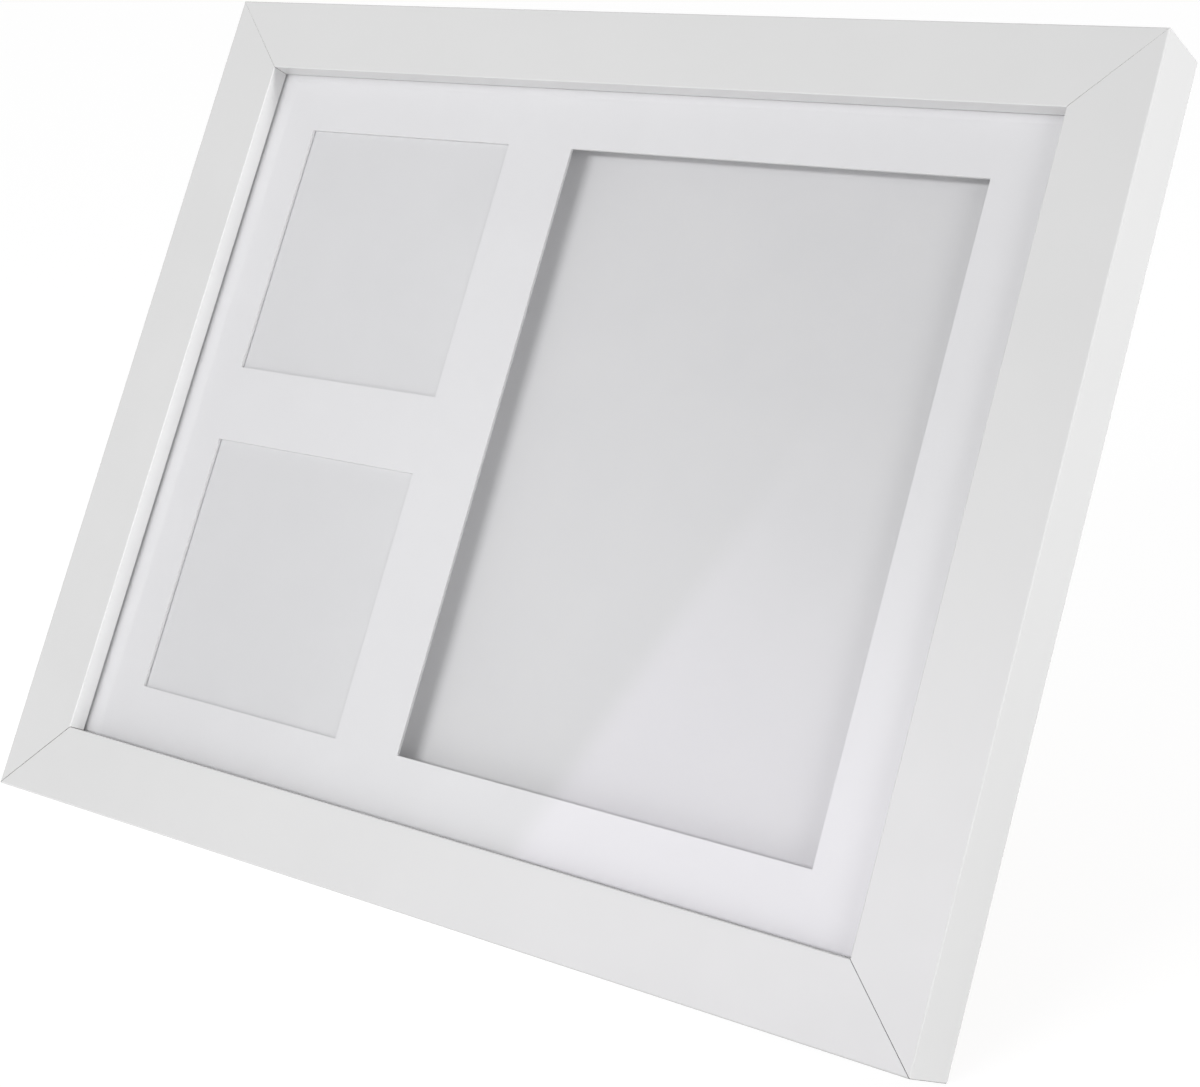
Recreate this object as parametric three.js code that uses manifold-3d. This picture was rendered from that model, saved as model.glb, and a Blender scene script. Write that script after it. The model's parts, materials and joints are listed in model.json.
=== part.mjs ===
// Pet paw print frame: a deep white picture frame with two photo windows and one well for a clay
// print, leaning back on an easel leg. Millimetres, +Z up, origin at the middle of its footprint.
// Inside the leaning group, x runs right as seen from the front, y runs back from the front face,
// and z runs up from the underside of the bottom rail.
import * as THREE from "three";
import { mergeVertices } from "three/addons/utils/BufferGeometryUtils.js";
import Module from "manifold-3d";

const wasm = await Module();
wasm.setup();

// Moulding
const outerWidth = 279.4;
const outerHeight = 228.6;
const railWidth = 19.5;
const lipDepth = 5;
const rabbetWidth = 6;
const frontRadius = 0.45;
const cornerRadius = 0.5;
const lipRadius = 0.25;
const mitreGap = 0.3;

// Sheets in the rabbet, from front to back
const lipGap = 0.2;
const layerGap = 0.2;
const sheetClearance = 0.6;
const glazingThickness = 0.8;
const matThickness = 0.8;
const photoThickness = 0.3;
const spacerThickness = 5.8;
const wellCardThickness = 1;
const backboardThickness = 3;
const backRecess = 0.3;

// Mat windows: a column of two square photo windows, then the tall window of the well
const photoWindow = 69;
const windowGap = 20.4;
const leftMargin = 15.9;
const rightMargin = 16.9;
const photoOverlap = 4;
const wellOverhang = 6;

// Pose: how far the frame leans back, and how far the leg swings out from the backboard
const leanDegrees = 27;
const openingDegrees = 38;

// Gap between pieces that touch or turn on each other
const partGap = 0.3;

// V-nails that hold the mitres, driven in from the back
const vNailWing = 5.5;
const vNailThickness = 0.6;
const vNailHeight = 8;
const vNailAngleDegrees = 40;
const vNailSink = 0.4;

// Turn buttons and their screws
const buttonReach = 13;
const buttonWidth = 9;
const buttonThickness = 1;
const buttonTipLength = 4.5;
const buttonTipDegrees = 28;
const buttonSpread = 75;
const screwRadius = 1.5;
const screwLength = 10;
const screwPointLength = 2.5;
const screwHeadRadius = 3.1;
const screwHeadHeight = 1.9;
const crossLength = 3.4;
const crossWidth = 0.8;
const crossDepth = 1.1;

// Sawtooth hanger and its nails
const hangerLength = 44;
const hangerHeight = 8.5;
const hangerThickness = 0.9;
const hangerRaise = 1.6;
const hangerFoot = 8;
const hangerRamp = 2;
const toothCount = 9;
const toothDepth = 1.8;
const nailRadius = 0.7;
const nailLength = 9;
const nailHeadRadius = 1.9;
const nailHeadHeight = 0.7;

// Hinge of the easel leg
const hingeHeight = 150;
const hingeStandoff = 3;
const plateThickness = 0.8;
const bracketWidth = 32;
const bracketRise = 21;
const bracketDrop = 5;
const bracketCorner = 4;
const earThickness = 1;
const earRadius = 3;
const pinRadius = 1.2;
const pinHeadRadius = 1.9;
const pinHeadHeight = 0.8;
const knuckleRadius = 2.3;
const leafDrop = 27;
const leafCorner = 4;
const rivetRadius = 1.5;
const rivetHeadRadius = 3;
const rivetHeadHeight = 0.9;
const rivetSpacing = 14;
const bracketRivetRise = 13;
const leafRivetDrop = 17;

// Easel leg
const legTopWidth = 40;
const legFootWidth = 64;
const legThickness = 4;
const legTopCorner = 8;
const legTopClearance = 0.7;

// Facets
const roundSegments = 24;
const filletSegments = 6;

// Places worked out from the sizes
const glazingFront = lipDepth + lipGap;
const matFront = glazingFront + glazingThickness + layerGap;
const photoFront = matFront + matThickness + layerGap;
const spacerFront = photoFront + photoThickness + layerGap;
const wellCardFront = spacerFront + spacerThickness + layerGap;
const backboardFront = wellCardFront + wellCardThickness + layerGap;
const backboardBack = backboardFront + backboardThickness;
const frameDepth = backboardBack + backRecess;
const backWidth = railWidth - rabbetWidth;
const middleHeight = outerHeight / 2;
const sheetWidth = outerWidth - 2 * (backWidth + sheetClearance);
const sheetHeight = outerHeight - 2 * (backWidth + sheetClearance);
const sightWidth = outerWidth - 2 * railWidth;
const photoLeft = leftMargin - sightWidth / 2;
const wellLeft = photoLeft + photoWindow + windowGap;
const wellWidth = sightWidth / 2 - rightMargin - wellLeft;
const wellHeight = 2 * photoWindow + windowGap;
const photoCentre = photoLeft + photoWindow / 2;
const wellCentre = wellLeft + wellWidth / 2;
const photoOffset = (photoWindow + windowGap) / 2;
const lean = THREE.MathUtils.degToRad(leanDegrees);
const opening = THREE.MathUtils.degToRad(openingDegrees);
const bracketFront = backboardBack + partGap;
const bracketBack = bracketFront + plateThickness;
const hingeDepth = bracketBack + hingeStandoff;

// Materials
const paint = (color, roughness, metalness = 0) =>
  new THREE.MeshStandardMaterial({ color, roughness, metalness });
const whiteFoil = paint(0xe9e9e9, 0.45);
const clearGlass = new THREE.MeshStandardMaterial({
  color: 0xf4f8fa,
  roughness: 0.05,
  transparent: true,
  opacity: 0.15,
});
const matBoard = paint(0xececef, 0.85);
const photoCard = paint(0xe2e2e5, 0.6);
const foamBoard = paint(0xd9d9da, 0.9);
const wellCard = paint(0xdededf, 0.8);
const hardboard = paint(0x8a6a4c, 0.8);
const zincSteel = paint(0xb9bbbd, 0.4, 1);
const brassSteel = paint(0xb9985a, 0.35, 1);

// A geometry with its shared vertices merged and its collapsed triangles left out.
function merged(geometry) {
  const bare = new THREE.BufferGeometry();
  bare.setAttribute("position", geometry.getAttribute("position").clone());
  bare.setIndex(geometry.getIndex());
  const joined = mergeVertices(bare, 1e-4);
  const corners = joined.getIndex().array;
  const kept = [];
  for (let i = 0; i < corners.length; i += 3) {
    const [a, b, c] = corners.slice(i, i + 3);
    if (a !== b && b !== c && c !== a) kept.push(a, b, c);
  }
  joined.setIndex(kept);
  return joined;
}

function toSolid(geometry) {
  const closed = merged(geometry);
  return new wasm.Manifold(
    new wasm.Mesh({
      numProp: 3,
      vertProperties: new Float32Array(closed.getAttribute("position").array),
      triVerts: new Uint32Array(closed.getIndex().array),
    }),
  );
}

function fromSolid(solid) {
  const { vertProperties, triVerts } = solid.getMesh();
  const geometry = new THREE.BufferGeometry();
  geometry.setAttribute("position", new THREE.BufferAttribute(vertProperties, 3));
  geometry.setIndex(new THREE.BufferAttribute(triVerts, 1));
  return geometry;
}

const join = (...geometries) =>
  fromSolid(geometries.map(toSolid).reduce((whole, piece) => whole.add(piece)));
const cut = (geometry, ...tools) =>
  fromSolid(tools.map(toSolid).reduce((whole, tool) => whole.subtract(tool), toSolid(geometry)));
const common = (first, second) => fromSolid(toSolid(first).intersect(toSolid(second)));

// A shape drawn in x and z, from depth front to front + thickness.
function plate(shape, front, thickness, curveSegments = filletSegments) {
  const geometry = new THREE.ExtrudeGeometry(shape, {
    depth: thickness,
    bevelEnabled: false,
    curveSegments,
  });
  return geometry.rotateX(Math.PI / 2).translate(0, front + thickness, 0);
}

// A shape drawn in y and z, centred across the width along x.
function slab(shape, width, curveSegments = roundSegments) {
  const geometry = new THREE.ExtrudeGeometry(shape, {
    depth: width,
    bevelEnabled: false,
    curveSegments,
  });
  const across = new THREE.Matrix4().makeBasis(
    new THREE.Vector3(0, 1, 0),
    new THREE.Vector3(0, 0, 1),
    new THREE.Vector3(1, 0, 0),
  );
  return geometry.applyMatrix4(across).translate(-width / 2, 0, 0);
}

function outline(...points) {
  return new THREE.Shape(points.map(([x, y]) => new THREE.Vector2(x, y)));
}

function rectangle(width, height, x = 0, z = 0) {
  const [right, top] = [width / 2, height / 2];
  return outline(
    [x - right, z - top],
    [x + right, z - top],
    [x + right, z + top],
    [x - right, z + top],
  );
}

function circle(radius, x = 0, z = 0) {
  return new THREE.Shape().absarc(x, z, radius, 0, 2 * Math.PI, false);
}

// An outline with rounded corners, given as [x, z, corner radius], anticlockwise.
function rounded(corners) {
  const shape = new THREE.Shape();
  corners.forEach(([x, z, radius = 0], i) => {
    const corner = new THREE.Vector2(x, z);
    const toward = (j) => {
      const [px, pz] = corners[(j + corners.length) % corners.length];
      return new THREE.Vector2(px, pz).sub(corner).normalize();
    };
    const before = toward(i - 1);
    const after = toward(i + 1);
    const half = before.angleTo(after) / 2;
    const tangent = radius / Math.tan(half);
    const start = before.clone().multiplyScalar(tangent).add(corner);
    const middle = before.clone().add(after).normalize();
    middle.multiplyScalar(radius / Math.sin(half)).add(corner);
    const end = after.clone().multiplyScalar(tangent).add(corner);
    const from = start.clone().sub(middle).angle();
    const to = end.clone().sub(middle).angle();
    if (i === 0) shape.moveTo(start.x, start.y);
    else shape.lineTo(start.x, start.y);
    if (radius > 0) shape.absarc(middle.x, middle.y, radius, from, to, false);
  });
  return shape;
}

// A round hole's or shank's solid along y, from depth start to end.
function rod(radius, start, end, x = 0, z = 0) {
  const geometry = new THREE.CylinderGeometry(radius, radius, end - start, roundSegments);
  return geometry.translate(x, (start + end) / 2, z);
}

// A turned piece about y, from [radius, depth] points that start and end on the axis.
function turned(points) {
  const profile = points.map(([radius, depth]) => new THREE.Vector2(radius, depth));
  return merged(new THREE.LatheGeometry(profile, roundSegments));
}

// Points of a low dome that rises from its rim at depth base to its top, rim first.
function dome(radius, base, height) {
  return Array.from({ length: filletSegments + 1 }, (_, i) => {
    const angle = (i / filletSegments) * (Math.PI / 2);
    return [radius * Math.cos(angle), base + height * Math.sin(angle)];
  });
}

function mesh(name, geometry, material) {
  const faceted = geometry.index ? geometry.toNonIndexed() : geometry.clone();
  faceted.computeVertexNormals();
  const made = new THREE.Mesh(faceted, material);
  made.name = name;
  return made;
}

const standing = new THREE.Group();
const frame = new THREE.Group();
frame.rotation.x = -lean;
frame.position.z = frameDepth * Math.sin(lean);
standing.add(frame);

// Rails: each is drawn as a bottom rail about the frame's middle, then turned to its side.
// The outer corners of the mitred frame are eased.
const vNailInset = backWidth / 2;
const hangerNailOffset = (hangerLength - hangerFoot) / 2;

function railProfile() {
  const profile = new THREE.Shape();
  profile.moveTo(frontRadius, 0);
  profile.lineTo(railWidth - lipRadius, 0);
  profile.absarc(railWidth - lipRadius, lipRadius, lipRadius, -Math.PI / 2, 0, false);
  profile.lineTo(railWidth, lipDepth);
  profile.lineTo(backWidth, lipDepth);
  profile.lineTo(backWidth, frameDepth);
  profile.lineTo(0, frameDepth);
  profile.lineTo(0, frontRadius);
  profile.absarc(frontRadius, frontRadius, frontRadius, Math.PI, 1.5 * Math.PI, false);
  return profile;
}

function cornerBlock(length, reach) {
  const [right, top] = [length / 2, reach];
  const face = rounded([
    [-right, -top, cornerRadius],
    [right, -top, cornerRadius],
    [right, top, cornerRadius],
    [-right, top, cornerRadius],
  ]);
  return plate(face, -1, frameDepth + 2);
}

function mitredRail(length, reach) {
  const geometry = new THREE.ExtrudeGeometry(railProfile(), {
    depth: 1,
    bevelEnabled: false,
    curveSegments: filletSegments,
  });
  const place = geometry.getAttribute("position");
  const outerEnd = (length - mitreGap * Math.SQRT2) / 2;
  for (let i = 0; i < place.count; i += 1) {
    const inward = place.getX(i);
    const side = place.getZ(i) > 0.5 ? -1 : 1;
    place.setXYZ(i, side * (outerEnd - inward), place.getY(i), inward - reach);
  }
  return common(geometry, cornerBlock(length, reach));
}

// Plan of a V-nail: two wings from a point, along +x, each of them thickness wide.
function vNailPlan(wing, thickness) {
  const angle = THREE.MathUtils.degToRad(vNailAngleDegrees);
  const along = new THREE.Vector2(Math.cos(angle), Math.sin(angle));
  const side = new THREE.Vector2(-along.y, along.x).multiplyScalar(thickness / 2);
  const tip = thickness / 2 / Math.sin(angle);
  const end = along.clone().multiplyScalar(wing);
  const outer = end.clone().add(side);
  const inner = end.clone().sub(side);
  return outline(
    [-tip, 0],
    [outer.x, -outer.y],
    [inner.x, -inner.y],
    [tip, 0],
    [inner.x, inner.y],
    [outer.x, outer.y],
  );
}

function vNail(clearance, front, back) {
  const plan = vNailPlan(vNailWing + clearance, vNailThickness + 2 * clearance);
  return plate(plan, front, back - front);
}

const vNailBack = frameDepth - vNailSink;
const vNailFront = vNailBack - vNailHeight;

function vNailSlot(halfLength, reach, side) {
  const slot = vNail(partGap, vNailFront - partGap, frameDepth + partGap);
  slot.rotateY(side > 0 ? (-3 * Math.PI) / 4 : -Math.PI / 4);
  return slot.translate(side * (halfLength - vNailInset), 0, vNailInset - reach);
}

const screwHole = (x, z) =>
  rod(screwRadius + partGap, frameDepth - screwLength - partGap, frameDepth + 1, x, z);
const nailHole = (x, z) =>
  rod(nailRadius + partGap, frameDepth - nailLength - partGap, frameDepth + 1, x, z);

const longRailScrews = [-buttonSpread, buttonSpread];
const shortRailScrews = [0];
const hangerNails = [-hangerNailOffset, hangerNailOffset];
const longSide = { length: outerWidth, reach: outerHeight / 2, screws: longRailScrews };
const shortSide = { length: outerHeight, reach: outerWidth / 2, screws: shortRailScrews };
const sides = [
  { name: "bottom", turn: 0, ...longSide },
  { name: "right", turn: -0.5, ...shortSide },
  { name: "top", turn: 1, ...longSide },
  { name: "left", turn: 0.5, ...shortSide },
];

for (const { name, turn, length, reach, screws } of sides) {
  const inset = backWidth / 2 - reach;
  const holes = screws.map((x) => screwHole(x, inset));
  if (name === "top") holes.push(...hangerNails.map((x) => nailHole(x, inset)));
  const slots = [-1, 1].map((side) => vNailSlot(length / 2, reach, side));
  const rail = mesh(`${name}_rail`, cut(mitredRail(length, reach), ...holes, ...slots), whiteFoil);
  rail.position.z = middleHeight;
  rail.rotation.y = turn * Math.PI;
  frame.add(rail);
}

for (const [vertical, up] of [["bottom", -1], ["top", 1]]) {
  for (const [horizontal, right] of [["left", -1], ["right", 1]]) {
    const nail = mesh(`v_nail_${vertical}_${horizontal}`, vNail(0, vNailFront, vNailBack), zincSteel);
    const across = right * (outerWidth / 2 - vNailInset);
    const height = middleHeight + up * (outerHeight / 2 - vNailInset);
    nail.position.set(across, 0, height);
    nail.rotation.y = -Math.atan2(-up, -right);
    frame.add(nail);
  }
}

// Sheets that fill the rabbet
const sheet = rectangle(sheetWidth, sheetHeight, 0, middleHeight);
const wellOpening = plate(rectangle(wellWidth, wellHeight, wellCentre, middleHeight), 0, frameDepth);
const spacerOpening = plate(
  rectangle(wellWidth + 2 * wellOverhang, wellHeight + 2 * wellOverhang, wellCentre, middleHeight),
  0,
  frameDepth,
);
const photos = [
  ["upper", middleHeight + photoOffset],
  ["lower", middleHeight - photoOffset],
];

frame.add(mesh("glazing", plate(sheet, glazingFront, glazingThickness), clearGlass));

const photoOpenings = photos.map(([, height]) =>
  plate(rectangle(photoWindow, photoWindow, photoCentre, height), 0, frameDepth),
);
const mat = cut(plate(sheet, matFront, matThickness), wellOpening, ...photoOpenings);
frame.add(mesh("mat", mat, matBoard));

const photoCardSize = photoWindow + 2 * photoOverlap;
for (const [name, height] of photos) {
  const card = rectangle(photoCardSize, photoCardSize, photoCentre, height);
  frame.add(mesh(`photo_card_${name}`, plate(card, photoFront, photoThickness), photoCard));
}

const spacer = cut(plate(sheet, spacerFront, spacerThickness), spacerOpening);
frame.add(mesh("spacer_board", spacer, foamBoard));
frame.add(mesh("well_card", plate(sheet, wellCardFront, wellCardThickness), wellCard));

const rivetOffsets = [
  ["left", -rivetSpacing / 2],
  ["right", rivetSpacing / 2],
];
const counterbore = rivetHeadHeight + 2 * layerGap;
const bracketRivetHeight = hingeHeight + bracketRivetRise;
const rivetHoles = rivetOffsets.flatMap(([, x]) => [
  rod(rivetRadius + partGap, backboardFront - 1, backboardBack + 1, x, bracketRivetHeight),
  rod(
    rivetHeadRadius + partGap,
    backboardFront - 1,
    backboardFront + counterbore,
    x,
    bracketRivetHeight,
  ),
]);
const backboard = cut(plate(sheet, backboardFront, backboardThickness), ...rivetHoles);
frame.add(mesh("backboard", backboard, hardboard));

// Turn buttons: each is drawn with its arm along +x and its screw at the origin, flat side at depth 0.
function turnButton() {
  const bend = THREE.MathUtils.degToRad(buttonTipDegrees);
  const round = buttonWidth / 2;
  const tip = buttonReach + round;
  const flat = tip - buttonTipLength;
  const rise = buttonTipLength * Math.tan(bend);
  const crease = buttonThickness * Math.tan(bend / 2);
  const strip = new THREE.Shape();
  strip.moveTo(-round, 0);
  strip.lineTo(flat, 0);
  strip.lineTo(tip, rise);
  strip.lineTo(tip, rise + buttonThickness / Math.cos(bend));
  strip.lineTo(flat - crease, buttonThickness);
  strip.lineTo(-round, buttonThickness);
  const bent = new THREE.ExtrudeGeometry(strip, { depth: buttonWidth, bevelEnabled: false });
  bent.translate(0, 0, -round);
  const stadium = new THREE.Shape();
  stadium.absarc(0, 0, round, Math.PI / 2, 1.5 * Math.PI, false);
  stadium.absarc(buttonReach, 0, round, -Math.PI / 2, Math.PI / 2, false);
  const plan = plate(stadium, -1, rise + 2 * buttonThickness + 1, roundSegments / 2);
  const hole = rod(screwRadius + partGap, -1, buttonThickness + 1);
  return cut(common(bent, plan), hole);
}

// A pan-head screw whose head seats at depth 0 and whose point is at -grip - screwLength.
function panScrew(grip) {
  const end = -grip - screwLength;
  const body = turned([
    [0, end],
    [screwRadius, end + screwPointLength],
    [screwRadius, 0],
    ...dome(screwHeadRadius, 0, screwHeadHeight),
  ]);
  const recess = (width, length) =>
    new THREE.BoxGeometry(width, crossDepth, length).translate(0, screwHeadHeight - crossDepth / 2, 0);
  return cut(body, recess(crossWidth, crossLength), recess(crossLength, crossWidth));
}

for (const { name, turn, reach, screws } of sides) {
  const rail = new THREE.Group();
  rail.position.z = middleHeight;
  rail.rotation.y = turn * Math.PI;
  frame.add(rail);
  screws.forEach((x) => {
    const hand = x * Math.cos(turn * Math.PI) < 0 ? "left" : "right";
    const label = screws.length > 1 ? `${name}_${hand}` : name;
    const button = mesh(`turn_button_${label}`, turnButton(), zincSteel);
    button.position.set(x, frameDepth + partGap, backWidth / 2 - reach);
    button.rotation.y = -Math.PI / 2;
    const headSeat = frameDepth + buttonThickness + 2 * partGap;
    const screw = mesh(`turn_button_screw_${label}`, panScrew(headSeat - frameDepth), brassSteel);
    screw.position.set(x, headSeat, backWidth / 2 - reach);
    rail.add(button, screw);
  });
}

// Sawtooth hanger on the top rail, arched off the wood between its two nailed feet.
function sawtoothHanger() {
  const end = hangerLength / 2;
  const foot = end - hangerFoot;
  const arch = foot - hangerRamp;
  const strip = new THREE.Shape();
  strip.moveTo(-end, 0);
  strip.lineTo(-foot, 0);
  strip.lineTo(-arch, hangerRaise);
  strip.lineTo(arch, hangerRaise);
  strip.lineTo(foot, 0);
  strip.lineTo(end, 0);
  strip.lineTo(end, hangerThickness);
  strip.lineTo(foot, hangerThickness);
  strip.lineTo(arch, hangerRaise + hangerThickness);
  strip.lineTo(-arch, hangerRaise + hangerThickness);
  strip.lineTo(-foot, hangerThickness);
  strip.lineTo(-end, hangerThickness);
  const bent = new THREE.ExtrudeGeometry(strip, { depth: hangerHeight, bevelEnabled: false });
  bent.translate(0, 0, -hangerHeight / 2);
  const pitch = (2 * arch) / toothCount;
  const notches = Array.from({ length: toothCount }, (_, i) => {
    const left = i * pitch - arch;
    const notch = outline(
      [left, -hangerHeight / 2 - 1],
      [left + pitch, -hangerHeight / 2 - 1],
      [left + pitch / 2, toothDepth - hangerHeight / 2],
    );
    return plate(notch, hangerRaise - 1, hangerThickness + 2);
  });
  const holes = hangerNails.map((x) => rod(nailRadius + partGap, -1, hangerThickness + 1, x));
  return cut(bent, ...notches, ...holes);
}

const hangerFront = frameDepth + partGap;
const hangerAcross = outerHeight - backWidth / 2;
const hanger = mesh("sawtooth_hanger", sawtoothHanger(), zincSteel);
hanger.position.set(0, hangerFront, hangerAcross);
frame.add(hanger);

// A round-headed nail whose head seats at depth 0.
function hangerNail(grip) {
  const end = -grip - nailLength;
  return turned([
    [0, end],
    [nailRadius, end + 2 * nailRadius],
    [nailRadius, 0],
    ...dome(nailHeadRadius, 0, nailHeadHeight),
  ]);
}

for (const x of hangerNails) {
  const seat = hangerFront + hangerThickness + partGap;
  const hand = x < 0 ? "left" : "right";
  const nail = mesh(`hanger_nail_${hand}`, hangerNail(seat - frameDepth), brassSteel);
  nail.position.set(x, seat, hangerAcross);
  frame.add(nail);
}

// Hinge bracket on the backboard: a base plate and two ears that carry the pin.
const hinge = new THREE.Group();
hinge.position.set(0, hingeDepth, hingeHeight);
frame.add(hinge);

const pinHole = () => rod(pinRadius + partGap, -bracketWidth, bracketWidth).rotateZ(Math.PI / 2);

function hingeBracket() {
  const side = bracketWidth / 2;
  const base = rounded([
    [-side, -bracketDrop],
    [side, -bracketDrop],
    [side, bracketRise, bracketCorner],
    [-side, bracketRise, bracketCorner],
  ]);
  const basePlate = plate(base, bracketFront - hingeDepth, plateThickness);
  const earShape = new THREE.Shape();
  earShape.moveTo(bracketFront - hingeDepth, -bracketDrop);
  earShape.lineTo(0, -earRadius);
  earShape.absarc(0, 0, earRadius, -Math.PI / 2, Math.PI / 2, false);
  earShape.lineTo(bracketFront - hingeDepth, bracketDrop);
  const ears = [-1, 1].map((end) =>
    slab(earShape, earThickness).translate((end * (bracketWidth - earThickness)) / 2, 0, 0),
  );
  const holes = rivetOffsets.map(([, x]) =>
    rod(rivetRadius + partGap, -hingeDepth, 0, x, bracketRivetRise),
  );
  return cut(join(basePlate, ...ears), pinHole(), ...holes);
}
hinge.add(mesh("hinge_bracket", hingeBracket(), zincSteel));

// A pin with a peened head at each end, along x.
function hingePin() {
  const end = bracketWidth / 2 + partGap;
  const pin = turned([
    ...dome(pinHeadRadius, end, pinHeadHeight).map(([radius, depth]) => [radius, -depth]).reverse(),
    [pinRadius, -end],
    [pinRadius, end],
    ...dome(pinHeadRadius, end, pinHeadHeight),
  ]);
  return pin.rotateZ(Math.PI / 2);
}
hinge.add(mesh("hinge_pin", hingePin(), brassSteel));

// A rivet with a domed head at each end, its shank from depth 0 to grip.
function rivet(grip) {
  const front = dome(rivetHeadRadius, 0, rivetHeadHeight).map(([radius, depth]) => [radius, -depth]);
  return turned([
    ...front.reverse(),
    [rivetRadius, 0],
    [rivetRadius, grip],
    ...dome(rivetHeadRadius, grip, rivetHeadHeight),
  ]);
}

const bracketRivetFront = backboardFront + counterbore - layerGap;
for (const [name, x] of rivetOffsets) {
  const grip = bracketBack + partGap - bracketRivetFront;
  const fastener = mesh(`bracket_rivet_${name}`, rivet(grip), brassSteel);
  fastener.position.set(x, bracketRivetFront, bracketRivetHeight);
  frame.add(fastener);
}

// Leg group: swings about the pin. Its own z runs up the leg, so the folded leg lies along the board.
const legGroup = new THREE.Group();
legGroup.rotation.x = opening;
hinge.add(legGroup);

const leafWidth = bracketWidth - 2 * (earThickness + partGap);
const leafFront = -knuckleRadius;
const legFront = leafFront + plateThickness + partGap;
const stopFace = hingeStandoff - partGap - (plateThickness / 2) * Math.cos(opening);
const stopReach = stopFace / Math.sin(opening);

// The leaf curls round the pin, carries the leg below it and stops on the bracket above it.
function hingeLeaf() {
  const side = leafWidth / 2;
  const leafShape = rounded([
    [-side, -leafDrop, leafCorner],
    [side, -leafDrop, leafCorner],
    [side, 0],
    [-side, 0],
  ]);
  const knuckle = slab(circle(knuckleRadius), leafWidth);
  const leaf = plate(leafShape, leafFront, plateThickness);
  const stop = slab(rectangle(plateThickness, stopReach, 0, stopReach / 2), leafWidth);
  const holes = rivetOffsets.map(([, x]) =>
    rod(rivetRadius + partGap, leafFront - 1, legFront, x, -leafRivetDrop),
  );
  return cut(join(knuckle, leaf, stop), pinHole(), ...holes);
}
legGroup.add(mesh("hinge_leaf", hingeLeaf(), zincSteel));

// The foot is cut level with the surface that the frame stands on.
const legTilt = opening - lean;
const pinDrop = hingeHeight * Math.cos(lean) - (hingeDepth - frameDepth) * Math.sin(lean);
const legLength = pinDrop / Math.cos(legTilt);

function easelLeg() {
  const top = -bracketDrop - legTopClearance;
  const foot = -legLength - legThickness;
  const shape = rounded([
    [-legFootWidth / 2, foot],
    [legFootWidth / 2, foot],
    [legTopWidth / 2, top, legTopCorner],
    [-legTopWidth / 2, top, legTopCorner],
  ]);
  const floor = new THREE.BoxGeometry(2 * legFootWidth, legLength, legLength);
  floor.translate(0, 0, -legLength / 2 - pinDrop).rotateX(-legTilt);
  const holes = rivetOffsets.map(([, x]) =>
    rod(rivetRadius + partGap, legFront - 1, legFront + legThickness + 1, x, -leafRivetDrop),
  );
  return cut(plate(shape, legFront, legThickness), floor, ...holes);
}
legGroup.add(mesh("easel_leg", easelLeg(), hardboard));

for (const [name, x] of rivetOffsets) {
  const grip = legFront + legThickness + partGap - (leafFront - partGap);
  const fastener = mesh(`leg_rivet_${name}`, rivet(grip), brassSteel);
  fastener.position.set(x, leafFront - partGap, -leafRivetDrop);
  legGroup.add(fastener);
}

// The origin is the middle of the footprint.
const footprint = new THREE.Box3().setFromObject(standing, true);
frame.position.y -= (footprint.min.y + footprint.max.y) / 2;

export default standing;
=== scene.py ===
"""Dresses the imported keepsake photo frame: eased edges, foil, paper, glass, board and plated fittings."""

import json
import math

import bmesh
import bpy
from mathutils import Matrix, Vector


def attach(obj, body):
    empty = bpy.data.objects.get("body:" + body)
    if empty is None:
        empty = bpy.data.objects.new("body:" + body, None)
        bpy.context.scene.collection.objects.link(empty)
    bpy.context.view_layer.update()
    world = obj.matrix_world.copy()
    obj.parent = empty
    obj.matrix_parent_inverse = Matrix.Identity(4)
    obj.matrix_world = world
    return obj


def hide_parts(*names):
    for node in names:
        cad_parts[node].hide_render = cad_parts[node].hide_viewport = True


MM = 0.001

# Camera, set from the corners of the frame in the photograph.
CAMERA_PLACE = Vector((0.33773, -0.42851, 0.23443))
CAMERA_AIM = Vector((-0.5626, 0.79187, -0.23754))
CAMERA_LENS = 68.21
CAMERA_SENSOR = 36.0
CAMERA_SHIFT_X = -0.0439
CAMERA_SHIFT_Y = -0.0566
CAMERA_NEAR = 0.01
CAMERA_FAR = 100

# Edge rounding of each kind of piece.
RAIL_EASE = 0.07 * MM
GLASS_EASE = 0.15 * MM
MAT_EASE = 0.06 * MM
CARD_EASE = 0.04 * MM
BOARD_EASE = 0.25 * MM
LEG_EASE = 0.45 * MM
PLATE_EASE = 0.14 * MM
FASTENER_EASE = 0.07 * MM

# How far a rail's ends are drawn out at its mitres. The top joints gape a little towards the inside.
MITRE_DRAW_TOP = 0.195 * MM
MITRE_DRAW_BOTTOM = 0.12 * MM
MITRE_GAPE = 0.03 * MM

# Foil turned in over the rails' backs, with a cut edge that wanders.
FOIL_TURN_IN = 3.2 * MM
TURN_IN_SOFT = 0.25 * MM
TURN_IN_WANDER = 0.9 * MM

# Tests on a face's normal, and the tolerances of the mesh work.
MITRE_FACE = 1.4
BACK_FACE = 0.9
SHEET_FACE = 0.7
SHARP_ANGLE = math.radians(34)
FLAT_ANGLE = math.radians(0.5)
WELD = 1e-6
FLAT_FACE_WEIGHT = 60

# Most of a noise value lies between these.
NOISE_LOW = 0.3
NOISE_HIGH = 0.7

# How dark paper's fibres and the plating's streaks are, as a share of the finish's dark tone.
PAPER_FIBRE_SHADE = 0.96
PLATE_STREAK_SHADE = 0.82

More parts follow.
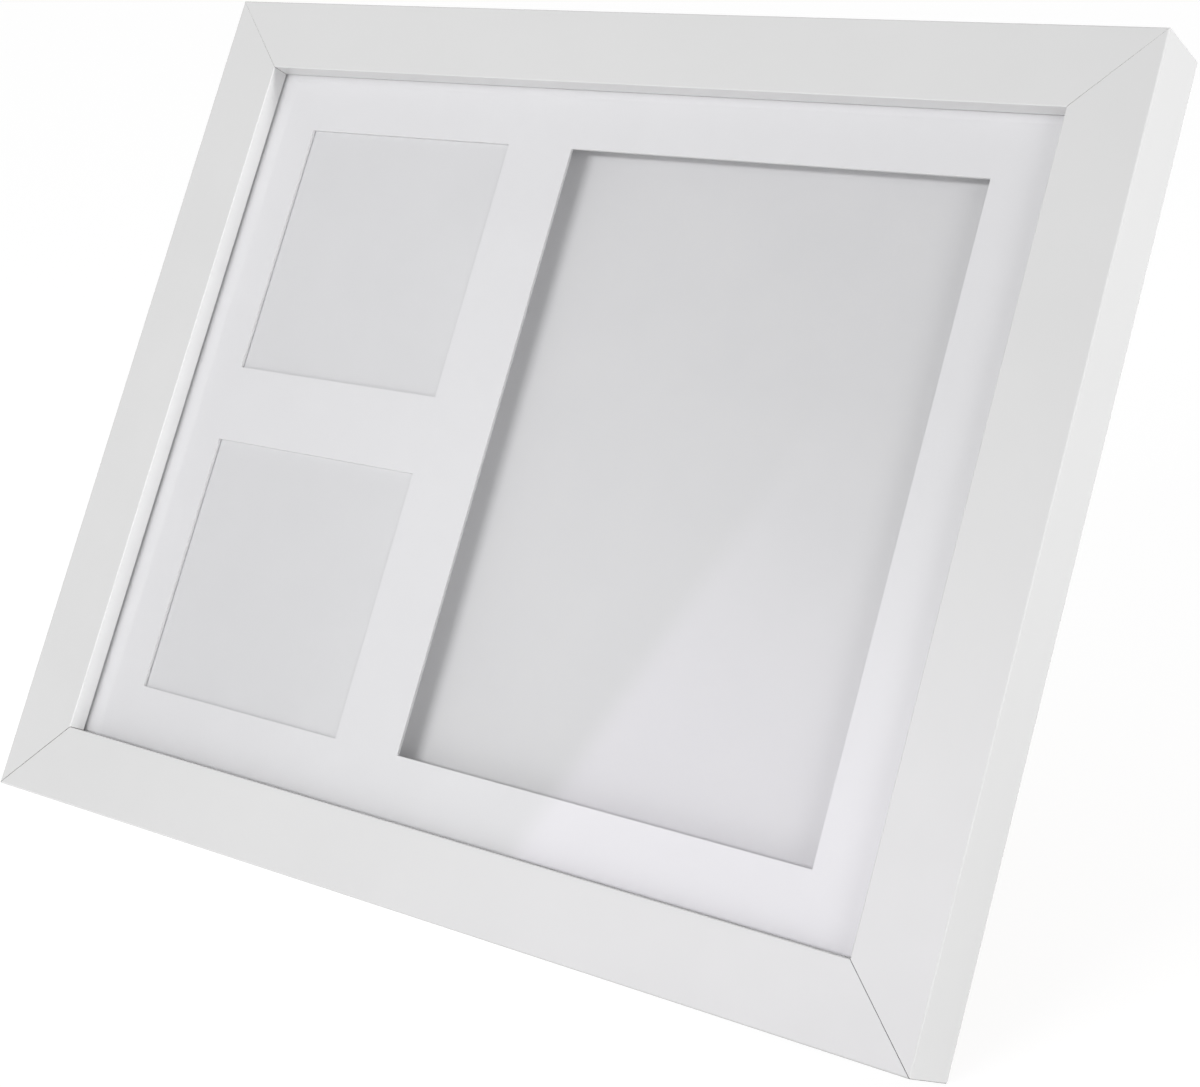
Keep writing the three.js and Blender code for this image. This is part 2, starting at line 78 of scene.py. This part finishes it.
# Colours. A pair is the dark and the light tone that a finish moves between.
FOIL_TONES = ((0.695, 0.695, 0.695), (0.71, 0.71, 0.71))
TURN_IN_WHITE = (0.79, 0.79, 0.785)
FIBRE_TONES = ((0.44, 0.305, 0.19), (0.6, 0.445, 0.295))
FIBRE_PALE = (0.66, 0.51, 0.35)
FIBRE_SPECK = (0.20, 0.12, 0.07)
# The mitre faces are painted near black: painted shade that stands for the dark of the deep, narrow joint.
MITRE_SHADE_TONES = ((0.055, 0.045, 0.036), (0.09, 0.072, 0.055))
MAT_TONES = ((0.755, 0.753, 0.77), (0.775, 0.773, 0.79))
MAT_CORE_TONES = ((0.76, 0.76, 0.765), (0.80, 0.80, 0.805))
PHOTO_TONES = ((0.688, 0.688, 0.703), (0.708, 0.708, 0.723))
WELL_TONES = ((0.657, 0.657, 0.671), (0.677, 0.675, 0.687))
FOAM_PAPER_TONES = ((0.84, 0.84, 0.84), (0.87, 0.87, 0.87))
FOAM_CELL = (0.86, 0.86, 0.865)
FOAM_WALL = (0.8, 0.8, 0.805)
FOAM_DRAG = (0.87, 0.87, 0.875)
HARDBOARD_DARK = (0.15, 0.082, 0.042)
HARDBOARD_MIDDLE = (0.225, 0.132, 0.072)
HARDBOARD_LIGHT = (0.31, 0.195, 0.112)
HARDBOARD_CLOUD = (0.25, 0.15, 0.085)
HARDBOARD_FLECK = (0.075, 0.042, 0.024)
ZINC_TONES = ((0.52, 0.53, 0.54), (0.66, 0.67, 0.675))
BRASS_TONES = ((0.66, 0.47, 0.2), (0.78, 0.58, 0.28))
GLASS_BODY = (0.995, 0.995, 0.995)
GLASS_PASS = (0.985, 0.985, 0.985)
GLASS_IOR = 1.5

# Lamps. A wide, low key stands nearly square in front of the face, a broad fill comes from the right, and
# an edge lamp skims the face from the right.
KEY_AWAY = 1.25
KEY_LEFT = math.radians(7)
KEY_RISE = math.radians(-6)
KEY_WIDTH = 0.62
KEY_HEIGHT = 0.14
KEY_POWER = 7.4
FILL_RIGHT = math.radians(52)
FILL_RISE = math.radians(-12)
FILL_SPREAD = math.radians(24)
FILL_POWER = 0.65
EDGE_FRONT = math.radians(1.25)
EDGE_RISE = math.radians(4)
EDGE_SPREAD = math.radians(2.7)
EDGE_POWER = 1.72

# Soft light from the dome: on its left, on its right and behind the frame. Starts and ends are cosines.
DOME_START = -0.3
DOME_END = 0.9
DOME_LEFT = 0.4
DOME_RIGHT = 0.2
BEHIND_START = 0.25
BEHIND_END = 0.9
DOME_BEHIND = 0.95

# What mirrors see: a pale room with a dimmer ceiling, brightest on the left but for its far end, and a
# brighter panel in it whose left edge shows in the glass.
ROOM_LOW = math.sin(math.radians(24))
ROOM_HIGH = math.sin(math.radians(40))
ROOM_CEILING = 0.6
WALL_START = -0.74
WALL_END = -0.56
ROOM_LEFT = 0.42
ROOM_RIGHT = 1.45
ROOM_FADE = -0.34
ROOM_END = 0.0
ROOM_BEYOND = 0.8
PANEL_LEFT = math.radians(-39.4)
PANEL_LEAN = math.radians(-3.2)
PANEL_LOW = math.sin(math.radians(24))
PANEL_HIGH = math.sin(math.radians(35.5))
PANEL_SOFT = 0.007
PANEL_GAIN = 0.76
PANEL_TINT = (1.0, 0.94, 1.06)

# The floor: its own shade, the light that it gives the object outside a dim round, and the glow that the
# camera and mirrors see.
FLOOR_HALF = 14.0
FLOOR_WHITE = 0.25
FLOOR_FILL = 0.64
FLOOR_DIM = (0.25, 0.05, 0)
FLOOR_NEAR = 0.12
FLOOR_FAR = 0.34
FLOOR_GLOW = 0.865


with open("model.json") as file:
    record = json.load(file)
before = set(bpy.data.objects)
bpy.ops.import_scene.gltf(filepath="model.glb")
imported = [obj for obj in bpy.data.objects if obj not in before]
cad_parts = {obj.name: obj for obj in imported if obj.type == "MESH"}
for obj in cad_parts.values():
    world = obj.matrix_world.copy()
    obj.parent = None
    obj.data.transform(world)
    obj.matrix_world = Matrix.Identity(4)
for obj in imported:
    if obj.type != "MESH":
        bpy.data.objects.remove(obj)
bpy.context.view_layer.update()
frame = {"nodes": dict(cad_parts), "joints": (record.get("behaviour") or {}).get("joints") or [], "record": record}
nodes = frame["nodes"]
bodies = frame["record"]["behaviour"]["bodies"]
BODY_OF = {node: body for body, names in bodies.items() for node in names}

# Axes of the leaning frame: across its width, up its face, and square through it to the back.
button = next(j for j in frame["joints"] if j["name"] == "button_left_turn")
ACROSS = Vector((1, 0, 0))
BACK = Vector(button["axis"]).normalized()
UP = ACROSS.cross(BACK)
LEAN = math.atan2(-BACK.z, BACK.y)


def reach(node, direction):
    """Lowest and highest measure of a solid along a direction."""
    along = [direction.dot(v.co) for v in nodes[node].data.vertices]
    return min(along), max(along)


FRONT, REAR = reach("bottom_rail", BACK)
LEFT, LEFT_INNER = reach("left_rail", ACROSS)
RIGHT = reach("right_rail", ACROSS)[1]
BOTTOM = reach("bottom_rail", UP)[0]
TOP = reach("top_rail", UP)[1]
RAIL_WIDTH = LEFT_INNER - LEFT


class Finish:
    """A procedural material: its node tree, its shader and short ways to add nodes to it."""

    def __init__(self, name, metallic=0.0, specular=0.5):
        self.material = bpy.data.materials.new(name)
        self.material.use_nodes = True
        self.tree = self.material.node_tree
        self.shader = self.tree.nodes["Principled BSDF"]
        self.shader.inputs["Metallic"].default_value = metallic
        self.shader.inputs["Specular IOR Level"].default_value = specular
        self.coords = self.tree.nodes.new("ShaderNodeTexCoord")
        self.relief = None

    def add(self, kind, **values):
        """Adds a node and sets its inputs by name, with _ for a space."""
        node = self.tree.nodes.new(kind)
        for key, value in values.items():
            node.inputs[key.replace("_", " ")].default_value = value
        return node

    def link(self, source, target):
        self.tree.links.new(source, target)

    def frame_space(self, stretch=(1, 1, 1)):
        """Object coordinates turned square to the frame: across, through and up."""
        mapping = self.add("ShaderNodeMapping", Rotation=(LEAN, 0, 0), Scale=stretch)
        self.link(self.coords.outputs["Object"], mapping.inputs["Vector"])
        return mapping.outputs["Vector"]

    def noise(self, scale, detail=3.0, roughness=0.55, vector=None, distortion=0.0):
        """A noise value; scale is in features per metre."""
        node = self.add(
            "ShaderNodeTexNoise",
            Scale=scale,
            Detail=detail,
            Roughness=roughness,
            Distortion=distortion,
        )
        self.link(vector or self.coords.outputs["Object"], node.inputs["Vector"])
        return node.outputs["Fac"]

    def ramp(self, value, stops):
        """A colour ramp over (position, colour) stops."""
        node = self.add("ShaderNodeValToRGB")
        band = node.color_ramp
        while len(band.elements) < len(stops):
            band.elements.new(0.5)
        for element, (place, colour) in zip(band.elements, stops):
            element.position = place
            element.color = (*colour, 1)
        self.link(value, node.inputs["Fac"])
        return node.outputs["Color"]

    def tones(self, noise, dark, light):
        """A colour that a noise value moves between two tones."""
        return self.ramp(noise, [(NOISE_LOW, dark), (NOISE_HIGH, light)])

    def spread(self, value, low, high, start=NOISE_LOW, end=NOISE_HIGH):
        """A value mapped from start..end to low..high."""
        node = self.add("ShaderNodeMapRange", From_Min=start, From_Max=end, To_Min=low, To_Max=high)
        self.link(value, node.inputs["Value"])
        return node.outputs["Result"]

    def blend(self, factor, first, second):
        """Two colours mixed by a value."""
        node = self.tree.nodes.new("ShaderNodeMix")
        node.data_type = "RGBA"
        for name, source in (("Factor_Float", factor), ("A_Color", first), ("B_Color", second)):
            socket = next(s for s in node.inputs if s.identifier == name)
            if isinstance(source, bpy.types.NodeSocket):
                self.link(source, socket)
            else:
                socket.default_value = (*source, 1)
        return next(s for s in node.outputs if s.identifier == "Result_Color")

    def bump(self, height, depth, strength):
        """Adds a bump over those before it; depth is in metres."""
        node = self.add("ShaderNodeBump", Strength=strength, Distance=depth)
        self.link(height, node.inputs["Height"])
        if self.relief:
            self.link(self.relief, node.inputs["Normal"])
        self.relief = node.outputs["Normal"]
        self.link(self.relief, self.shader.inputs["Normal"])

    def colour(self, source):
        self.link(source, self.shader.inputs["Base Color"])

    def roughness(self, source):
        self.link(source, self.shader.inputs["Roughness"])


def white_foil():
    """Satin white foil: nearly even, with a soft mottle and a fine pressed grain."""
    finish = Finish("white_foil", specular=1.0)
    mottle = finish.noise(scale=28, detail=4)
    sheen = finish.noise(scale=90, detail=5)
    grain = finish.noise(scale=1400, detail=2)
    finish.colour(finish.tones(mottle, *FOIL_TONES))
    finish.roughness(finish.spread(sheen, low=0.22, high=0.265))
    finish.bump(grain, depth=0.02 * MM, strength=0.18)
    return finish.material


def raw_board():
    """Bare fibre board behind the foil, with the foil's turned-in edge along the outside."""
    finish = Finish("raw_board", specular=0.25)
    fibre = finish.noise(scale=900, detail=5, roughness=0.7)
    cloud = finish.noise(scale=60, detail=4)
    speck = finish.noise(scale=2600, detail=1)
    waver = finish.noise(scale=140, detail=3)
    board = finish.tones(fibre, *FIBRE_TONES)
    board = finish.blend(finish.spread(cloud, low=0.0, high=0.35), board, FIBRE_PALE)
    spots = finish.spread(speck, low=0.0, high=0.6, start=0.64, end=0.74)
    board = finish.blend(spots, board, FIBRE_SPECK)
    inset = finish.add("ShaderNodeSeparateXYZ")
    finish.link(finish.coords.outputs["UV"], inset.inputs["Vector"])
    wander = finish.add("ShaderNodeMath")
    wander.operation = "MULTIPLY_ADD"
    wander.inputs[1].default_value = TURN_IN_WANDER
    finish.link(waver, wander.inputs[0])
    finish.link(inset.outputs["Y"], wander.inputs[2])
    bare = finish.spread(wander.outputs[0], 0.0, 1.0, FOIL_TURN_IN, FOIL_TURN_IN + TURN_IN_SOFT)
    finish.colour(finish.blend(bare, TURN_IN_WHITE, board))
    finish.roughness(finish.spread(bare, low=0.5, high=0.86, start=0.0, end=1.0))
    finish.bump(fibre, depth=0.05 * MM, strength=0.3)
    finish.bump(bare, depth=-0.12 * MM, strength=0.6)
    return finish.material


def paper(name, dark, light, tooth=0.02 * MM, shine=0.3):
    """Uncoated board or card: faint clouding and a fibrous tooth of a given depth."""
    finish = Finish(name, specular=shine)
    cloud = finish.noise(scale=45, detail=5)
    fibre = finish.noise(scale=1900, detail=4, roughness=0.65)
    tone = finish.tones(cloud, dark, light)
    shaded = tuple(PAPER_FIBRE_SHADE * c for c in dark)
    finish.colour(finish.blend(finish.spread(fibre, low=0.0, high=0.5), tone, shaded))
    finish.roughness(finish.spread(fibre, low=0.72, high=0.9))
    finish.bump(fibre, depth=tooth, strength=0.35)
    return finish.material


def foam_core():
    """The cut edge of foam board: a pale grey core of fine cells."""
    finish = Finish("foam_core", specular=0.2)
    voronoi = finish.add("ShaderNodeTexVoronoi", Scale=2300.0)
    finish.link(finish.coords.outputs["Object"], voronoi.inputs["Vector"])
    cells = voronoi.outputs["Distance"]
    drag = finish.noise(scale=400, detail=3, vector=finish.frame_space((0.12, 1, 0.12)))
    tone = finish.ramp(cells, [(0.1, FOAM_CELL), (0.6, FOAM_WALL)])
    finish.colour(finish.blend(finish.spread(drag, low=0.0, high=0.25), tone, FOAM_DRAG))
    finish.roughness(finish.spread(drag, low=0.75, high=0.92))
    finish.bump(cells, depth=0.06 * MM, strength=0.4)
    finish.bump(drag, depth=0.05 * MM, strength=0.3)
    return finish.material


def hardboard():
    """Pressed brown hardboard: fine felted fibres, darker flecks and a dull sheen."""
    finish = Finish("hardboard", specular=0.35)
    flat = finish.frame_space((1, 4, 1))
    fibre = finish.noise(scale=520, detail=6, roughness=0.72, vector=flat, distortion=0.6)
    cloud = finish.noise(scale=24, detail=5, vector=flat)
    fleck = finish.noise(scale=1500, detail=2, vector=flat)
    felt = [(0.28, HARDBOARD_DARK), (0.52, HARDBOARD_MIDDLE), (0.75, HARDBOARD_LIGHT)]
    board = finish.ramp(fibre, felt)
    board = finish.blend(finish.spread(cloud, low=0.0, high=0.4), board, HARDBOARD_CLOUD)
    spots = finish.spread(fleck, low=0.0, high=0.65, start=0.66, end=0.76)
    finish.colour(finish.blend(spots, board, HARDBOARD_FLECK))
    finish.roughness(finish.spread(fibre, low=0.42, high=0.62))
    finish.bump(fibre, depth=0.05 * MM, strength=0.35)
    finish.bump(cloud, depth=0.4 * MM, strength=0.08)
    return finish.material


def plated(name, dark, light, smooth, rough):
    """Plated sheet steel: drawn streaks and soft blotches, some of them duller."""
    finish = Finish(name, metallic=1.0)
    streak = finish.noise(scale=700, detail=3, vector=finish.frame_space((1, 1, 0.06)))
    blotch = finish.noise(scale=160, detail=5, roughness=0.65)
    tone = finish.tones(blotch, dark, light)
    streaked = tuple(PLATE_STREAK_SHADE * c for c in dark)
    finish.colour(finish.blend(finish.spread(streak, low=0.0, high=0.35), tone, streaked))
    finish.roughness(finish.spread(blotch, smooth, rough))
    finish.bump(streak, depth=0.01 * MM, strength=0.25)
    finish.bump(blotch, depth=0.03 * MM, strength=0.12)
    return finish.material


def clear_glass():
    """Clear float glass; lamps and soft light pass straight through it."""
    finish = Finish("clear_glass")
    shader = finish.shader
    shader.inputs["Base Color"].default_value = (*GLASS_BODY, 1)
    shader.inputs["Roughness"].default_value = 0.0
    shader.inputs["IOR"].default_value = GLASS_IOR
    shader.inputs["Transmission Weight"].default_value = 1.0
    path = finish.add("ShaderNodeLightPath")
    clear = finish.add("ShaderNodeBsdfTransparent", Color=(*GLASS_PASS, 1))
    surface = shader.outputs[0]
    for ray in ("Is Shadow Ray", "Is Diffuse Ray"):
        either = finish.add("ShaderNodeMixShader")
        finish.link(path.outputs[ray], either.inputs[0])
        finish.link(surface, either.inputs[1])
        finish.link(clear.outputs[0], either.inputs[2])
        surface = either.outputs[0]
    finish.link(surface, finish.tree.nodes["Material Output"].inputs["Surface"])
    return finish.material


FOIL = white_foil()
RAW = raw_board()
# Painted shade: the mitre faces are coloured near black so that the joint's gap shows dark.
MITRE_SHADE = paper("mitre_painted_shade", *MITRE_SHADE_TONES, tooth=0.06 * MM, shine=0.4)
GLASS = clear_glass()
MAT_FACE = paper("mat_face", *MAT_TONES)
MAT_CORE = paper("mat_core", *MAT_CORE_TONES, tooth=0.05 * MM)
PHOTO_PAPER = paper("photo_paper", *PHOTO_TONES, tooth=0.015 * MM, shine=0.4)
WELL_PAPER = paper("well_paper", *WELL_TONES, tooth=0.03 * MM)
FOAM_PAPER = paper("foam_paper", *FOAM_PAPER_TONES)
FOAM_CORE = foam_core()
HARDBOARD = hardboard()
ZINC = plated("zinc_plate", *ZINC_TONES, smooth=0.29, rough=0.42)
BRASS = plated("brass_plate", *BRASS_TONES, smooth=0.29, rough=0.37)


def flats(node):
    """A solid as a mesh whose flat areas are single faces."""
    mesh = bmesh.new()
    mesh.from_mesh(nodes[node].data)
    bmesh.ops.remove_doubles(mesh, verts=mesh.verts, dist=WELD)
    bmesh.ops.dissolve_limit(
        mesh, angle_limit=FLAT_ANGLE, verts=mesh.verts, edges=mesh.edges, use_dissolve_boundaries=False
    )
    return mesh


def dress(node, width, materials, choose=None, measure=None, segments=3, shape=None):
    """A piece that stands for a solid, with its sharp edges rounded and its faces finished.

    choose picks a face's material by its centre and normal, measure gives a corner's UV, and shape may move
    points before the edges are rounded.
    """
    mesh = flats(node)
    mesh.normal_update()
    if shape:
        shape(mesh)
    sharp = [e for e in mesh.edges if len(e.link_faces) == 2 and e.calc_face_angle(0) > SHARP_ANGLE]
    bmesh.ops.bevel(
        mesh,
        geom=sharp,
        offset=width,
        offset_type="OFFSET",
        segments=segments,
        profile=0.5,
        affect="EDGES",
        clamp_overlap=True,
        material=-1,
    )
    for face in mesh.faces:
        face.smooth = True
    mesh.normal_update()
    for face in mesh.faces if choose else ():
        face.material_index = choose(face.calc_center_median(), face.normal)
    for edge in mesh.edges:
        edge.smooth = len(edge.link_faces) != 2 or edge.calc_face_angle(0) < SHARP_ANGLE
    if measure:
        layer = mesh.loops.layers.uv.new("UVMap")
        for face in mesh.faces:
            for loop in face.loops:
                loop[layer].uv = measure(loop.vert.co)
    data = bpy.data.meshes.new(node + "_dressed")
    mesh.to_mesh(data)
    mesh.free()
    for material in materials:
        data.materials.append(material)
    piece = bpy.data.objects.new(node + "_dressed", data)
    bpy.context.scene.collection.objects.link(piece)
    shading = piece.modifiers.new("even_normals", "WEIGHTED_NORMAL")
    shading.keep_sharp = True
    shading.weight = FLAT_FACE_WEIGHT
    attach(piece, BODY_OF[node])
    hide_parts(node)
    return piece


def rail(node, outward, along, edge):
    """A moulding: foil on its front, sides, lip and rebate, bare board on its back, and mitre faces painted near
    black as painted shade of the narrow joint.
    """

    def is_mitre(normal):
        return abs(along.dot(normal)) - outward.dot(normal) > MITRE_FACE

    def close_mitres(mesh):
        """Draws both ends out, so that the joint shows as a hairline."""
        for end in (1, -1):
            faces = [f for f in mesh.faces if is_mitre(f.normal) and end * along.dot(f.normal) > 0]
            for point in {v for f in faces for v in f.verts}:
                high = UP.dot(point.co) > (BOTTOM + TOP) / 2
                inset = (edge - outward.dot(point.co)) / RAIL_WIDTH
                draw = MITRE_DRAW_TOP - MITRE_GAPE * inset if high else MITRE_DRAW_BOTTOM
                point.co += along * end * draw

    def choose(centre, normal):
        """0 for foil, 1 for the bare back and 2 for a mitre face painted dark, as painted shade in the joint."""
        if is_mitre(normal):
            return 2
        at_rear = BACK.dot(centre) > (FRONT + REAR) / 2
        return 1 if at_rear and BACK.dot(normal) > BACK_FACE else 0

    def measure(place):
        return along.dot(place), edge - outward.dot(place)

    return dress(node, RAIL_EASE, [FOIL, RAW, MITRE_SHADE], choose, measure, shape=close_mitres)


rail("top_rail", UP, ACROSS, TOP)
rail("bottom_rail", -UP, ACROSS, -BOTTOM)
rail("left_rail", -ACROSS, UP, -LEFT)
rail("right_rail", ACROSS, UP, RIGHT)


def on_edge(centre, normal):
    """1 for the cut edges of a sheet, 0 for its two faces."""
    return 0 if abs(BACK.dot(normal)) > SHEET_FACE else 1


dress("glazing", GLASS_EASE, [GLASS], segments=2)
dress("mat", MAT_EASE, [MAT_FACE, MAT_CORE], on_edge, segments=2)
dress("photo_card_upper", CARD_EASE, [PHOTO_PAPER], segments=1)
dress("photo_card_lower", CARD_EASE, [PHOTO_PAPER], segments=1)
dress("spacer_board", MAT_EASE, [FOAM_PAPER, FOAM_CORE], on_edge, segments=2)
dress("well_card", CARD_EASE, [WELL_PAPER], segments=1)
dress("backboard", BOARD_EASE, [HARDBOARD])

for corner in ("top_left", "top_right", "bottom_left", "bottom_right"):
    dress("v_nail_" + corner, FASTENER_EASE, [ZINC], segments=2)
for place in ("top_left", "top_right", "bottom_left", "bottom_right", "left", "right"):
    dress("turn_button_" + place, PLATE_EASE, [ZINC])
    dress("turn_button_screw_" + place, FASTENER_EASE, [BRASS], segments=2)

dress("sawtooth_hanger", PLATE_EASE, [ZINC])
dress("hinge_bracket", PLATE_EASE, [ZINC])
dress("hinge_leaf", PLATE_EASE, [ZINC])
dress("hinge_pin", FASTENER_EASE, [BRASS], segments=2)
for side in ("left", "right"):
    dress("hanger_nail_" + side, FASTENER_EASE, [BRASS], segments=2)
    dress("bracket_rivet_" + side, FASTENER_EASE, [BRASS], segments=2)
    dress("leg_rivet_" + side, FASTENER_EASE, [BRASS], segments=2)
dress("easel_leg", LEG_EASE, [HARDBOARD])


def rays(tree, *names):
    """1 for any of these kinds of ray."""
    path = tree.nodes.new("ShaderNodeLightPath")
    seen = path.outputs[names[0]]
    for name in names[1:]:
        either = tree.nodes.new("ShaderNodeMath")
        either.operation = "MAXIMUM"
        tree.links.new(seen, either.inputs[0])
        tree.links.new(path.outputs[name], either.inputs[1])
        seen = either.outputs[0]
    return seen


def studio_floor():
    """A plain white floor that keeps the frame's soft shadow."""
    data = bpy.data.meshes.new("studio_floor")
    corners = [(x * FLOOR_HALF, y * FLOOR_HALF, 0) for x, y in ((-1, -1), (1, -1), (1, 1), (-1, 1))]
    data.from_pydata(corners, [], [(0, 1, 2, 3)])
    finish = Finish("studio_white", specular=0.0)
    finish.shader.inputs["Base Color"].default_value = (FLOOR_WHITE, FLOOR_WHITE, FLOOR_WHITE, 1)
    finish.shader.inputs["Roughness"].default_value = 1.0
    finish.shader.inputs["Emission Color"].default_value = (1, 1, 1, 1)
    away = finish.add("ShaderNodeVectorMath")
    away.operation = "DISTANCE"
    away.inputs[1].default_value = FLOOR_DIM
    finish.link(finish.coords.outputs["Object"], away.inputs[0])
    fill = finish.spread(away.outputs["Value"], 0.0, FLOOR_FILL, FLOOR_NEAR, FLOOR_FAR)
    shown = rays(finish.tree, "Is Camera Ray", "Is Glossy Ray", "Is Transmission Ray")
    glow = finish.add("ShaderNodeMath")
    glow.operation = "MAXIMUM"
    finish.link(fill, glow.inputs[0])
    finish.link(finish.spread(shown, 0.0, FLOOR_GLOW, start=0.0, end=1.0), glow.inputs[1])
    finish.link(glow.outputs[0], finish.shader.inputs["Emission Strength"])
    data.materials.append(finish.material)
    floor = bpy.data.objects.new("studio_floor", data)
    bpy.context.scene.collection.objects.link(floor)


def studio_world():
    """Soft light by direction, the pale room that mirrors see, and plain white for the camera."""
    world = bpy.data.worlds.new("studio")
    world.use_nodes = True
    bpy.context.scene.world = world
    tree = world.node_tree
    back = tree.nodes["Background"]
    coords = tree.nodes.new("ShaderNodeTexCoord")

    def towards(direction):
        """The cosine between the ray and a direction."""
        node = tree.nodes.new("ShaderNodeVectorMath")
        node.operation = "DOT_PRODUCT"
        node.inputs[1].default_value = direction
        tree.links.new(coords.outputs["Generated"], node.inputs[0])
        return node.outputs["Value"]

    def ease(value, start, end, low, high, curve="SMOOTHSTEP"):
        """Goes from low to high, each a number or a value, as the given value goes from start to end."""
        node = tree.nodes.new("ShaderNodeMapRange")
        node.interpolation_type = curve
        node.inputs["From Min"].default_value = start
        node.inputs["From Max"].default_value = end
        for name, given in (("To Min", low), ("To Max", high)):
            if isinstance(given, bpy.types.NodeSocket):
                tree.links.new(given, node.inputs[name])
            else:
                node.inputs[name].default_value = given
        tree.links.new(value, node.inputs["Value"])
        return node.outputs["Result"]

    def add(first, second):
        node = tree.nodes.new("ShaderNodeMath")
        tree.links.new(first, node.inputs[0])
        tree.links.new(second, node.inputs[1])
        return node.outputs[0]

    across = towards(ACROSS)
    behind = towards(Vector((0, 1, 0)))
    height = towards(Vector((0, 0, 1)))
    lit = ease(across, DOME_START, DOME_END, DOME_LEFT, DOME_RIGHT)
    lit = ease(behind, BEHIND_START, BEHIND_END, lit, DOME_BEHIND)

    left = Vector((math.cos(PANEL_LEFT), math.sin(PANEL_LEFT), math.tan(PANEL_LEAN)))
    panel = ease(towards(left), -PANEL_SOFT, PANEL_SOFT, 0.0, PANEL_GAIN)
    panel = ease(height, PANEL_LOW, PANEL_HIGH, panel, 0.0)
    panel = ease(across, ROOM_FADE, ROOM_END, panel, 0.0)
    wall = ease(across, WALL_START, WALL_END, ROOM_LEFT, ROOM_RIGHT)
    wall = ease(across, ROOM_FADE, ROOM_END, wall, ROOM_BEYOND)
    room = add(ease(height, ROOM_LOW, ROOM_HIGH, wall, ROOM_CEILING), panel)

    mirror = rays(tree, "Is Glossy Ray", "Is Transmission Ray")
    mirrored = ease(mirror, 0.0, 1.0, lit, room, "LINEAR")
    shown = ease(rays(tree, "Is Camera Ray"), 0.0, 1.0, mirrored, 1.0, "LINEAR")
    tree.links.new(shown, back.inputs["Strength"])
    tinted = tree.nodes.new("ShaderNodeMix")
    tinted.data_type = "RGBA"
    sockets = {s.identifier: s for s in tinted.inputs}
    sockets["A_Color"].default_value = (1, 1, 1, 1)
    sockets["B_Color"].default_value = (*PANEL_TINT, 1)
    tree.links.new(ease(mirror, 0.0, 1.0, 0.0, panel, "LINEAR"), sockets["Factor_Float"])
    tree.links.new(next(s for s in tinted.outputs if s.identifier == "Result_Color"), back.inputs["Color"])


def studio_lamp(data, source, away=0.0):
    """A lamp that shines on the middle of the face from the given direction and isn't seen in mirrors."""
    middle = (LEFT + RIGHT) / 2 * ACROSS + (BOTTOM + TOP) / 2 * UP + FRONT * BACK
    lamp = bpy.data.objects.new(data.name, data)
    lamp.location = middle + source.normalized() * away
    lamp.rotation_mode = "QUATERNION"
    lamp.rotation_quaternion = (-source).to_track_quat("-Z", "Y")
    lamp.visible_glossy = False
    lamp.visible_transmission = False
    bpy.context.scene.collection.objects.link(lamp)


def key_lamp():
    """The main light: a wide, low panel in front of the face."""
    data = bpy.data.lights.new("key", "AREA")
    data.shape = "RECTANGLE"
    data.size = KEY_WIDTH
    data.size_y = KEY_HEIGHT
    data.energy = KEY_POWER
    studio_lamp(data, -BACK - ACROSS * math.tan(KEY_LEFT) + UP * math.tan(KEY_RISE), KEY_AWAY)


def distant_lamp(name, spread, power, source):
    """A far light of a given angular size."""
    data = bpy.data.lights.new(name, "SUN")
    data.angle = spread
    data.energy = power
    studio_lamp(data, source)


def camera():
    """The photograph's view."""
    data = bpy.data.cameras.new("camera")
    data.lens = CAMERA_LENS
    data.sensor_width = CAMERA_SENSOR
    data.shift_x = CAMERA_SHIFT_X
    data.shift_y = CAMERA_SHIFT_Y
    data.clip_start = CAMERA_NEAR
    data.clip_end = CAMERA_FAR
    eye = bpy.data.objects.new("camera", data)
    eye.location = CAMERA_PLACE
    eye.rotation_mode = "QUATERNION"
    eye.rotation_quaternion = CAMERA_AIM.to_track_quat("-Z", "Y")
    bpy.context.scene.collection.objects.link(eye)
    bpy.context.scene.camera = eye


studio_floor()
studio_world()
key_lamp()
from_right = -BACK + ACROSS * math.tan(FILL_RIGHT) + UP * math.tan(FILL_RISE)
distant_lamp("fill", FILL_SPREAD, FILL_POWER, from_right)
skimming = ACROSS - BACK * math.tan(EDGE_FRONT) + UP * math.tan(EDGE_RISE)
distant_lamp("edge", EDGE_SPREAD, EDGE_POWER, skimming)
camera()
bpy.context.scene.view_settings.view_transform = "Standard"
